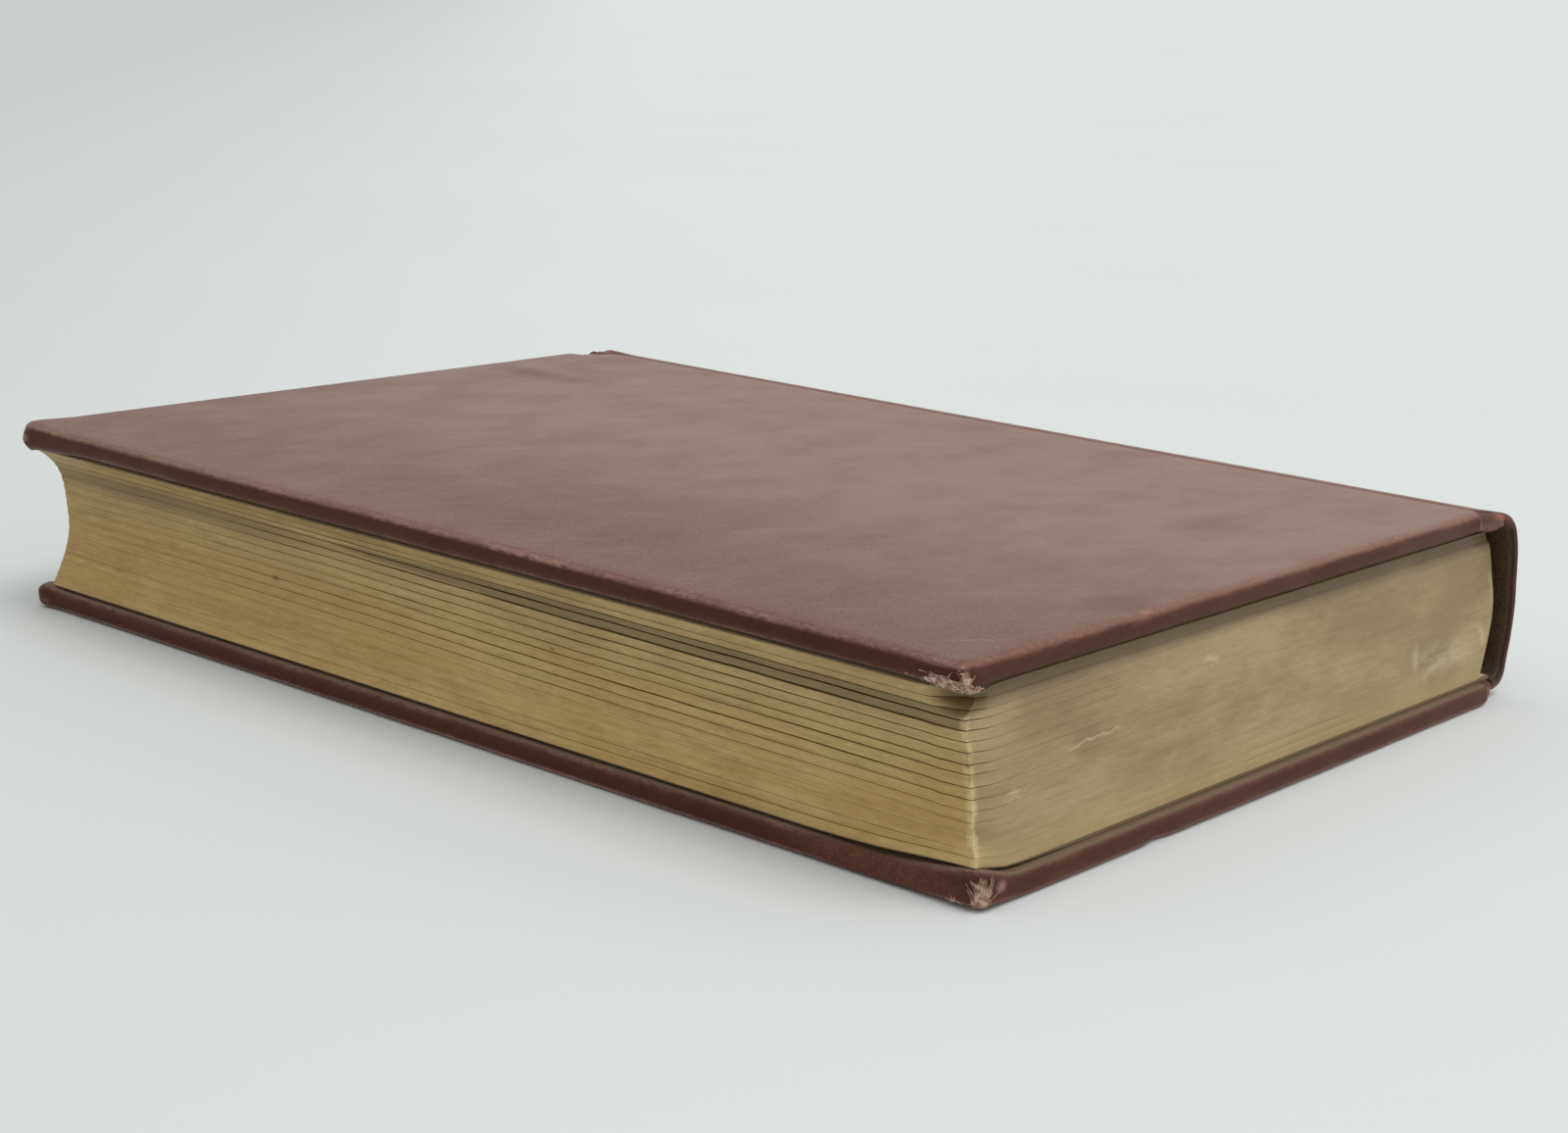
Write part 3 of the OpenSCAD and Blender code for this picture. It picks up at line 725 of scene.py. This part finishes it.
def makeFlyleaf(name, base, side):
    # free endpaper, glued to the block along its back
    z = book["middle"] + side * book["blockHalf"]
    foreX, backX, tailY, headY = foreOf(0, z), backOf(z), pages["y"][0] + leanY(z), pages["y"][1] + leanY(z)
    mesh = boxMesh((backX, tailY, base), (foreX, headY, base + sheets["thick"]))
    rim, step = sheets["rim"], sheets["step"]
    cutAt(mesh, 0, evenly(backX, foreX - rim[-1], step) + [foreX - s for s in rim])
    cutAt(mesh, 1, evenly(tailY, headY - rim[-1], step) + [headY - s for s in rim])
    trimmed = mesh.verts.layers.float.new("trimmed")
    for v in mesh.verts:
        x, y, z = v.co
        onFore, toFore, toHead = x > foreX - 1e-3, foreX - x, headY - y
        v[trimmed] = 1 if onFore or y > headY - 1e-3 or y < tailY + 1e-3 else 0
        if onFore:
            v.co.x += sheets["wavy"] * ripple(0, y, base, sheets["waveSize"], 8) - sheets["trim"]
        if side > 0:
            corner = fade(0, 11, toFore) * fade(0, 9, toHead)
            v.co.z -= sheets["droop"] * corner
            v.co.y += sheets["slide"] * corner + sheets["headSlide"] * fade(0, 2, toHead)
            v.co.x -= sheets["bentHead"] * fade(0, 8, toHead) * fade(0, 9, toFore)
            v.co.x -= sheets["bentTail"] * fade(0, 9, y - tailY) * fade(0, 9, toFore)
        else:
            v.co.z += pages["onCover"] * cornerRise(x, y) + lastLeavesLift(x, y, blockLow)
            if z < base + 1e-3:
                v.co.z -= sheets["hang"] * fade(0, 2, toHead) * fade(*sheets["hangOver"], x)
    return makePiece(name, mesh, endpaper)


def makePastedown(name, base, side):
    # inner sheet of a cover, which goes over the joint to the block
    edgeX, slipY = coverEdge(side)
    half, margin = book["cover"][1] / 2, sheets["margin"]
    lowX, jointX, highX = sheets["pasteX"], edgeX + sheets["joint"], edgeX + book["cover"][0] - margin
    lowY, highY = slipY - half + margin, slipY + half - margin
    mesh = boxMesh((lowX, lowY, base), (highX, highY, base + sheets["thick"]))
    cutAt(mesh, 0, evenly(lowX, jointX, sheets["jointStep"]) + evenly(jointX, highX, sheets["step"]))
    cutAt(mesh, 1, evenly(lowY, highY, sheets["step"]))
    if side < 0:
        for v in mesh.verts:
            v.co.z += cornerRise(v.co.x, v.co.y)
    return makePiece(name, mesh, endpaper)


frontFlyleaf = makeFlyleaf("frontFlyleaf", sheets["front"], 1)
backFlyleaf = makeFlyleaf("backFlyleaf", sheets["back"], -1)
frontPastedown = makePastedown("frontPastedown", sheets["frontPaste"], 1)
backPastedown = makePastedown("backPastedown", sheets["backPaste"], -1)
for piece, node in ((frontFlyleaf, "front_flyleaf"), (backFlyleaf, "back_flyleaf")):
    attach(piece, "book_block")
    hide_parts(node)
for piece, cover, node, height in ((frontPastedown, "front_cover", "front_pastedown", 0.0353),
        (backPastedown, "back_cover", "back_pastedown", 0.0047)):
    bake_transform(piece, "book_block", cover, start=(-0.0840, 0, height), end=(-0.0792, 0, height))
    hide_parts(node)
print("endpapers made")

boards = {
    # base, thickness and distance in from the leather: the front one leaves room for the dent over it
    "front": (36.25, 2.6, 1.25), "back": (0.75, 3, 0.75),
    "corner": 2.25, "blunt": 1.3, "bluntOver": (0.5, 6), "step": 7,
}


def makeBoard(name, side, base, thick, inset):
    edgeX, slipY = coverEdge(side)
    lowX, highX, half = edgeX + inset, edgeX + book["cover"][0] - inset, book["cover"][1] / 2 - inset
    mesh = boxMesh((lowX, slipY - half, base), (highX, slipY + half, base + thick))
    roundOff(mesh, uprightEdges(mesh, lowX - 1), boards["corner"], 5)
    cutAt(mesh, 0, evenly(lowX, highX, boards["step"]))
    cutAt(mesh, 1, evenly(slipY - half, slipY + half, boards["step"]))
    for v in mesh.verts:
        if side < 0:
            v.co.z += curlAt(v.co.x, v.co.y)
        # knocked blunt at the corner by the tail and the fore-edge
        toFore, toTail = highX - v.co.x, v.co.y - slipY + half
        blunt = boards["blunt"] * fade(*boards["bluntOver"], math.hypot(toFore, toTail))
        v.co.x -= blunt * fade(0, 5, toFore)
        v.co.y += blunt * fade(0, 5, toTail)
    return makePiece(name, mesh, millboard, 30)


frontBoard = makeBoard("frontBoard", 1, *boards["front"])
backBoard = makeBoard("backBoard", -1, *boards["back"])
for piece, cover, node in ((frontBoard, "front_cover", "front_board"),
        (backBoard, "back_cover", "back_board")):
    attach(piece, cover)
    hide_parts(node)

covers = {
    "corner": 2.6, "frontArris": 1.9, "backArris": 1.3, "innerArris": 1.5, "turnIn": 14.0, "skin": 0.75,
    # joint from the board's spine edge to the shoulder: distance along X, height over the inner face
    "joint": ((0.75, 4.36), (0.32, 4.02), (0.06, 3.5), (-0.14, 2.8), (-0.5, 2.0), (-1.0, 1.3),
        (-1.6, 0.85), (-2.2, 0.7), (-2.8, 0.95), (-3.3, 1.6), (-3.8, 2.3), (-4.45, 2.95), (-5.1, 3.17)),
    "start": 1.1, "shoulderX": -84.125,  # where that strip starts on the board, and its end in the book
    "steps": {"faceX": 4, "faceY": 3.5, "fore": 2, "tail": 2.2, "head": 1.6}, "waist": 2.05,
    "rubbedMost": (42, 30),  # middle and width of the worst of the fore-edge's arris
    "wavy": 0.25, "waveSize": 19, "thinner": 0.1, "rim": 3,  # of the handled arrises
    "hills": 0.12, "hillSize": 45,  # of the outer faces
    "tailSwell": (2, 1, 6.5), "headSwell": (0.6, 1.5, 9),  # corners: amount, from, to in mm
    # tail corner of each cover: knob, how far its nose is knocked off and over what height, lift inside
    "tailCorner": {1: (0.2, 1.2, 1.2, 1.3), -1: (1.6, 0.6, 1.7, 0.3)},
    "tailPuff": 0.35, "tailTip": 1.1, "headTip": 0.15,  # of the front cover's outer face
    "baggy": 1, "torn": 0.8,  # skin hanging at the tail, and loose at the near corner
    "markX": 42, "nick": 0.7, "dent": (0.5, 0.4),  # at the head: in the lower cover, in the upper one
    "tailDip": 1.5, "capPinch": 3.0, "headLift": 0.6,  # ends of the front joint
}


def addSkin(piece, even):
    skin = piece.modifiers.new("skin", "SOLIDIFY")
    skin.thickness = covers["skin"] * mm
    skin.offset = -1
    skin.use_even_offset = even


def coverWear(u, y, w, toFore, toEnd, tip):
    # how rubbed, how frayed, and 1 on the outer face, below 0 on the turned-in rim
    thick = book["cover"][2]
    under = thick - w
    most = bump(y, *covers["rubbedMost"])
    rubFore = bump(toFore - under, 0, 0.6) * smooth(2.6, 1.3, toFore + under) * (0.65 + 0.35 * most)
    rubEnd = bump(toEnd, 0.5, 0.9) * bump(under, 0.45, 0.7) * (1 if y > 0 else 0.6)
    rubLow = 0.4 * bump(min(toFore, toEnd), 0.3, 0.6) * bump(w, 0.3, 0.5)
    faceOut = smooth(thick - 1.15, thick - 0.35, w) if u > 1 else 0.55
    return max(rubFore, rubEnd, rubLow), 0.5 * bump(tip, 0, 1.6), faceOut - smooth(0.6, 0.1, w)


def wearCover(v, side, toFore, toEnd, tip):
    # handled arrises are wavy, and the corners are swollen
    u, y, w = v.co
    thick, rim = book["cover"][2], covers["rim"]
    atTail, onFace = y < 0, u > 2
    knob, nose, tall, lift = covers["tailCorner"][side]
    outward = covers["wavy"] * ripple(u, y, w, covers["waveSize"], 11 + side) - covers["thinner"]
    if atTail:
        outward += knob * bump(tip, 0, 3.5)
        outward -= nose * fade(0.5, 6, tip) * (1 - bump(w, 2.1, tall))
    v.co.x += outward * fade(0, rim, toFore)
    if onFace:
        v.co.y += math.copysign(outward * fade(0, rim, toEnd), y)
    if onFace and w > thick / 2:
        hills = covers["hills"] * ripple(u, y, 0, covers["hillSize"], 13 + side) - covers["hills"]
        v.co.z += hills * smooth(1.5, 3, w)
        if side > 0 and atTail:
            # swollen, and its tip knocked round
            v.co.z += covers["tailPuff"] * fade(4, 14, tip) - covers["tailTip"] * fade(0, 4, tip)
        elif side > 0:
            v.co.z += covers["headTip"] if tip < 4 else 0
    if onFace and w < thick / 2:
        amount, near, far = covers["tailSwell" if atTail else "headSwell"]
        v.co.z -= 0.55 * fade(near, far, tip) * amount
        if atTail:
            v.co.z += lift * fade(0, 3.5, tip)
        if side > 0:
            v.co.z -= covers["baggy"] * fade(0.7, 2, toFore) * fade(8, 24, y + book["cover"][1] / 2)
            if not atTail:
                v.co.z -= covers["torn"] * bump(toFore, 4.0, 2.4) * bump(toEnd, 0.5, 1.8)
    mark = covers["markX"] - coverEdge(side)[0]
    if side < 0 and w > 1.5 and not atTail:
        v.co.y -= covers["nick"] * bump(u, mark, 2.2) * fade(0, 2, toEnd)
    if side > 0 and not atTail:
        dent = bump(u, mark, 3) * fade(1, 4, toEnd) * smooth(1, 3, w)
        v.co.y -= covers["dent"][0] * dent
        v.co.z -= covers["dent"][1] * dent


def placeCover(v, side, w):
    # from a cover's own place to the book's
    u, y, z = v.co
    thick, stripEnd = book["cover"][2], -covers["joint"][-1][0]
    edgeX, slipY = coverEdge(side)
    worldX = edgeX + u if u > 0 else edgeX + u * (edgeX - covers["shoulderX"]) / stripEnd
    worldY = y + slipY * fade(0.5, 5.0, -u)
    worldZ = apart + z if side > 0 else thick - z
    if side < 0:
        rise, curl = cornerRise(worldX, worldY), curlAt(worldX, worldY)
        worldZ += curl + (rise - curl) * smooth(thick - 1, 0.5, w)
    else:
        # ends of the joint: knocked down at the tail beside a pinched cap, pulled up at the head
        tailEnd, headEnd = fade(0, 9, worldY + 127.3), fade(0, 5, 126.5 - worldY)
        worldZ -= (covers["tailDip"] * fade(-78, -70, worldX) * smooth(-81, -79, worldX)
            * smooth(38, 39, worldZ) * tailEnd)
        worldZ += covers["capPinch"] * bump(worldX, -81.3, 2.5) * tailEnd
        worldZ += covers["headLift"] * smooth(-82, -83.4, worldX) * headEnd
    return worldX, worldY, max(worldZ, 0.0)


def makeCover(name, side):
    # modelled with its height over the inner face, so that one form serves both covers
    width, height, thick = book["cover"]
    half, turned, corner, start = height / 2, covers["turnIn"], covers["corner"], covers["start"]
    mesh = boxMesh((start, -half, 0), (width, half, thick))
    roundOff(mesh, uprightEdges(mesh, start + 1), corner, 6)
    outerArris = covers["frontArris"] if side > 0 else covers["backArris"]
    for level, radius, count in ((thick, outerArris, 5), (0, covers["innerArris"], 4)):
        rim = [e for e in mesh.edges if all(abs(v.co.z - level) < 1e-4 for v in e.verts)
            and not all(v.co.x < start + 0.1 for v in e.verts)]
        roundOff(mesh, rim, radius, count)
    steps = covers["steps"]
    cutAt(mesh, 0, evenly(start, width - turned, steps["faceX"]) + [width - turned]
        + evenly(width - turned, width - corner, steps["fore"]))
    cutAt(mesh, 1, [-half + turned, half - turned] + evenly(-half + turned, half - turned, steps["faceY"])
        + evenly(-half + corner, -half + turned, steps["tail"])
        + evenly(half - turned, half - corner, steps["head"]))
    cutAt(mesh, 2, [covers["waist"]])
    middles = [(f, f.calc_center_median()) for f in mesh.faces]
    bmesh.ops.delete(mesh, geom=[f for f, at in middles if at.x < start + 0.01
        or (at.z < 0.01 and at.x < width - turned and abs(at.y) < half - turned)], context="FACES")

    # strip of leather down into the joint and up to the shoulder of the spine
    full = mesh.verts.layers.float.new("fullHeight")
    for v in mesh.verts:
        v[full] = v.co.z
    chain = [e for e in mesh.edges if all(v.co.x < start + 0.01 for v in e.verts)]
    for x, top in covers["joint"]:
        fresh, chain = extendChain(mesh, chain)
        for v in fresh:
            v.co.x = x
            v.co.z = v[full] * top / thick
    mesh.verts.layers.float.remove(full)

    wear, atEnd, _ = leatherLayers(mesh)
    for v in mesh.verts:
        u, y, w = v.co
        toFore, toEnd = width - u, half - abs(y)
        tip = math.hypot(toFore, toEnd)
        v[wear] = coverWear(u, y, w, toFore, toEnd, tip)
        v[atEnd] = 1 if toEnd < toFore else 0
        wearCover(v, side, toFore, toEnd, tip)
        v.co = placeCover(v, side, w)
    piece = makePiece(name, mesh, calf, 60)
    addSkin(piece, even=True)
    return piece


frontLeather = makeCover("frontLeather", 1)
backLeather = makeCover("backLeather", -1)
for piece, cover, node, height in ((frontLeather, "front_cover", "front_leather", 0.037),
        (backLeather, "back_cover", "back_leather", 0.003)):
    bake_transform(piece, "book_block", cover, start=(-0.0838, 0, height), end=(-0.0794, 0, height))
    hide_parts(node)
print("covers:", len(frontLeather.data.polygons), "faces each")

spine = {
    "centre": -52.434, "radius": 41.541, "shoulderX": -85.595, "shoulderZ": 12.8, "shoulderR": 6.0,
    "lip": -84.0, "half": 127.25, "wall": 3.0, "turned": 12.0,
    "steps": 26, "shoulderSteps": 8, "bendSteps": 6, "step": 6,
    "slump": 1.7, "slumpOver": (70, 127),  # out of round near the table, towards the head
    "hills": (0.15, 22), "endHills": (0.5, 8), "rimHills": (0.25, 7), "thinner": 0.2,  # height, size
    "tailCap": 0.9, "headCap": 0.6,  # leather pinched up at both ends of the front shoulder
}


def spineProfile(inset):
    # points from the back joint over the back shoulder, round the spine, to the front joint
    shoulderX, shoulderZ, count = spine["shoulderX"], spine["shoulderZ"], spine["shoulderSteps"]
    r = spine["shoulderR"] - inset
    start = math.acos(min(1, (spine["lip"] - shoulderX) / spine["shoulderR"]))
    split = math.atan2(shoulderZ, shoulderX - spine["centre"])
    points = []
    for i in range(count + 1):
        a = start + (split - start) * i / count
        points.append((shoulderX + r * math.cos(a), shoulderZ + r * math.sin(a)))
    big = spine["radius"] - inset
    for i in range(1, spine["steps"]):
        a = split + (2 * math.pi - 2 * split) * i / spine["steps"]
        points.append((spine["centre"] + big * math.cos(a), big * math.sin(a)))
    return points + [(x, -z) for x, z in points[:count + 1]][::-1]


def makeSpine():
    half, wall, turned = spine["half"], spine["wall"], spine["turned"]
    bend = wall / 2
    mesh = bmesh.new()
    # stations along Y and their depth under the outer face: in under the card, round the end, and out
    angles = [math.pi / 2 - math.pi * k / spine["bendSteps"] for k in range(spine["bendSteps"] + 1)]
    turn = [(-half + bend - bend * math.cos(a), bend + bend * math.sin(a)) for a in angles]
    stations = [(-half + turned, wall), (-half + turned / 2, wall)] + turn
    stations += [(y, 0) for y in evenly(-half + bend, half - bend, spine["step"])]
    stations += [(-y, inset) for y, inset in reversed(turn)]
    stations += [(half - turned / 2, wall), (half - turned, wall)]
    order = mesh.verts.layers.int.new("order")
    depth = mesh.verts.layers.float.new("depth")
    first = [mesh.verts.new((x, stations[0][0], book["middle"] + z)) for x, z in spineProfile(stations[0][1])]
    chain = [mesh.edges.new(pair) for pair in zip(first, first[1:])]
    for i, v in enumerate(first):
        v[order], v[depth] = i, wall
    for y, inset in stations[1:]:
        fresh, chain = extendChain(mesh, chain)
        profile = spineProfile(inset)
        for v in fresh:
            x, z = profile[v[order]]
            v.co, v[depth] = (x, y, book["middle"] + z), inset
    wear, atEnd, hollow = leatherLayers(mesh)
    hills, endHills, rimHills = spine["hills"], spine["endHills"], spine["rimHills"]
    for v in mesh.verts:
        x, y, z = v.co
        toEnd = half - abs(y)
        inside = smooth(0.6, 1, v[depth] / wall)  # 1 on the turned-in side, 0 on the outer one
        rub = fade(0.2, 1.6, toEnd) * bump(v[depth], 0.5, 0.9)
        v[wear] = (rub * 0.5, 0, 0.8 * smooth(2, 8, toEnd) * (1 - inside))
        v[atEnd] = 1
        v[hollow] = inside
        v.co.x += hills[0] * ripple(x, y, z, hills[1], 15)
        v.co.x -= spine["slump"] * smooth(13, 1, z) * smooth(*spine["slumpOver"], y)
        v.co.x += endHills[0] * ripple(0, y, z, endHills[1], 18) * fade(0, 12, toEnd)
        if toEnd < 3:
            v.co.y += math.copysign(rimHills[0] * ripple(x, 0, z, rimHills[1], 16) - spine["thinner"], y)
        if z > 30:
            v.co.z += spine["tailCap" if y < 0 else "headCap"] * bump(x, -83.4, 2.8) * fade(0, 7, toEnd)
    mesh.verts.layers.int.remove(order)
    piece = makePiece("spineLeather", mesh, calf, 60)
    addSkin(piece, even=False)
    return piece


spineLeather = makeSpine()
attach(spineLeather, "book_block")
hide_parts("spine_leather")
print("spine:", len(spineLeather.data.polygons), "faces")

# fibres that stand out of the worn corners: place, spread and heading in mm, scatter, how many, longest
tufts = {
    "front": (((93.4, 120.4, 36.5), (0.5, 4.2, 0.7), (0, 1, -0.25), 0.5, 110, 2.6),
        ((93.2, 124.6, 36.9), (0.6, 0.6, 1.9), (0.2, 0.5, -1), 0.6, 70, 1.9),
        ((90.8, 124.9, 35.2), (1.6, 0.4, 0.4), (-0.5, 0.3, -1), 0.6, 45, 1.5)),
    "back": (((92.0, 129.1, 1.0), (1.3, 1.3, 0.6), (0, 0, 1), 0.28, 130, 4.4),
        ((92.5, 124.3, 0.7), (0.2, 0.5, 0.3), (0, 0.2, 1), 0.5, 12, 1.4)),
    "thick": 0.075, "tipShare": 0.3, "joints": 4,  # radius at the root, its share at the tip, bends
    "spread": 0.55, "shortest": 0.35, "lift": 0.35, "off": 0.03,  # of one fibre off the skin, in mm
}


def makeFibres(name, cover, groups, seed):
    dice = random.Random(seed)
    surface = BVHTree.FromPolygons([v.co / mm for v in cover.data.vertices],
        [tuple(p.vertices) for p in cover.data.polygons])
    hair, count = bmesh.new(), tufts["joints"]
    bmesh.ops.create_cone(hair, cap_ends=True, segments=3, radius1=tufts["thick"],
        radius2=tufts["thick"] * tufts["tipShare"], depth=1)
    cutAt(hair, 2, [i / count - 0.5 for i in range(1, count)])
    hairData = bpy.data.meshes.new("hair")
    hair.to_mesh(hairData)
    hair.free()
    mesh = bmesh.new()
    for centre, spread, heading, scatter, hairs, longest in groups:
        for _ in range(hairs):
            start = Vector(c + dice.gauss(0, tufts["spread"]) * s for c, s in zip(centre, spread))
            way = Vector(heading).normalized() + Vector(dice.gauss(0, scatter) for _ in range(3))
            length = longest * (tufts["shortest"] + (1 - tufts["shortest"]) * dice.random())
            lift = tufts["lift"] * dice.random()
            points = []
            for step in range(count + 1):
                place, normal, _, _ = surface.find_nearest(start)
                points.append(place + normal * (tufts["off"] + lift * (step / count) ** 2))
                along = (way - normal * way.dot(normal)).normalized()
                start = place + along * length / count
            mesh.from_mesh(hairData)
            mesh.verts.ensure_lookup_table()
            for v in mesh.verts[-len(hairData.vertices):]:
                step = round((v.co.z + 0.5) * count)
                ahead = (points[min(step + 1, count)] - points[max(step - 1, 0)]).normalized()
                across = ahead.orthogonal()
                v.co = points[step] + across * v.co.x + ahead.cross(across) * v.co.y
    bpy.data.meshes.remove(hairData)
    return makePiece(name, mesh, looseFibre, 80)


frontFibres = makeFibres("frontFibres", frontLeather, tufts["front"], 5)
backFibres = makeFibres("backFibres", backLeather, tufts["back"], 9)
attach(frontFibres, "front_cover")
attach(backFibres, "back_cover")
print("fibres:", len(frontFibres.data.polygons) + len(backFibres.data.polygons), "faces")

scene = bpy.context.scene
scene.view_settings.view_transform = "Standard"

bpy.context.view_layer.update()
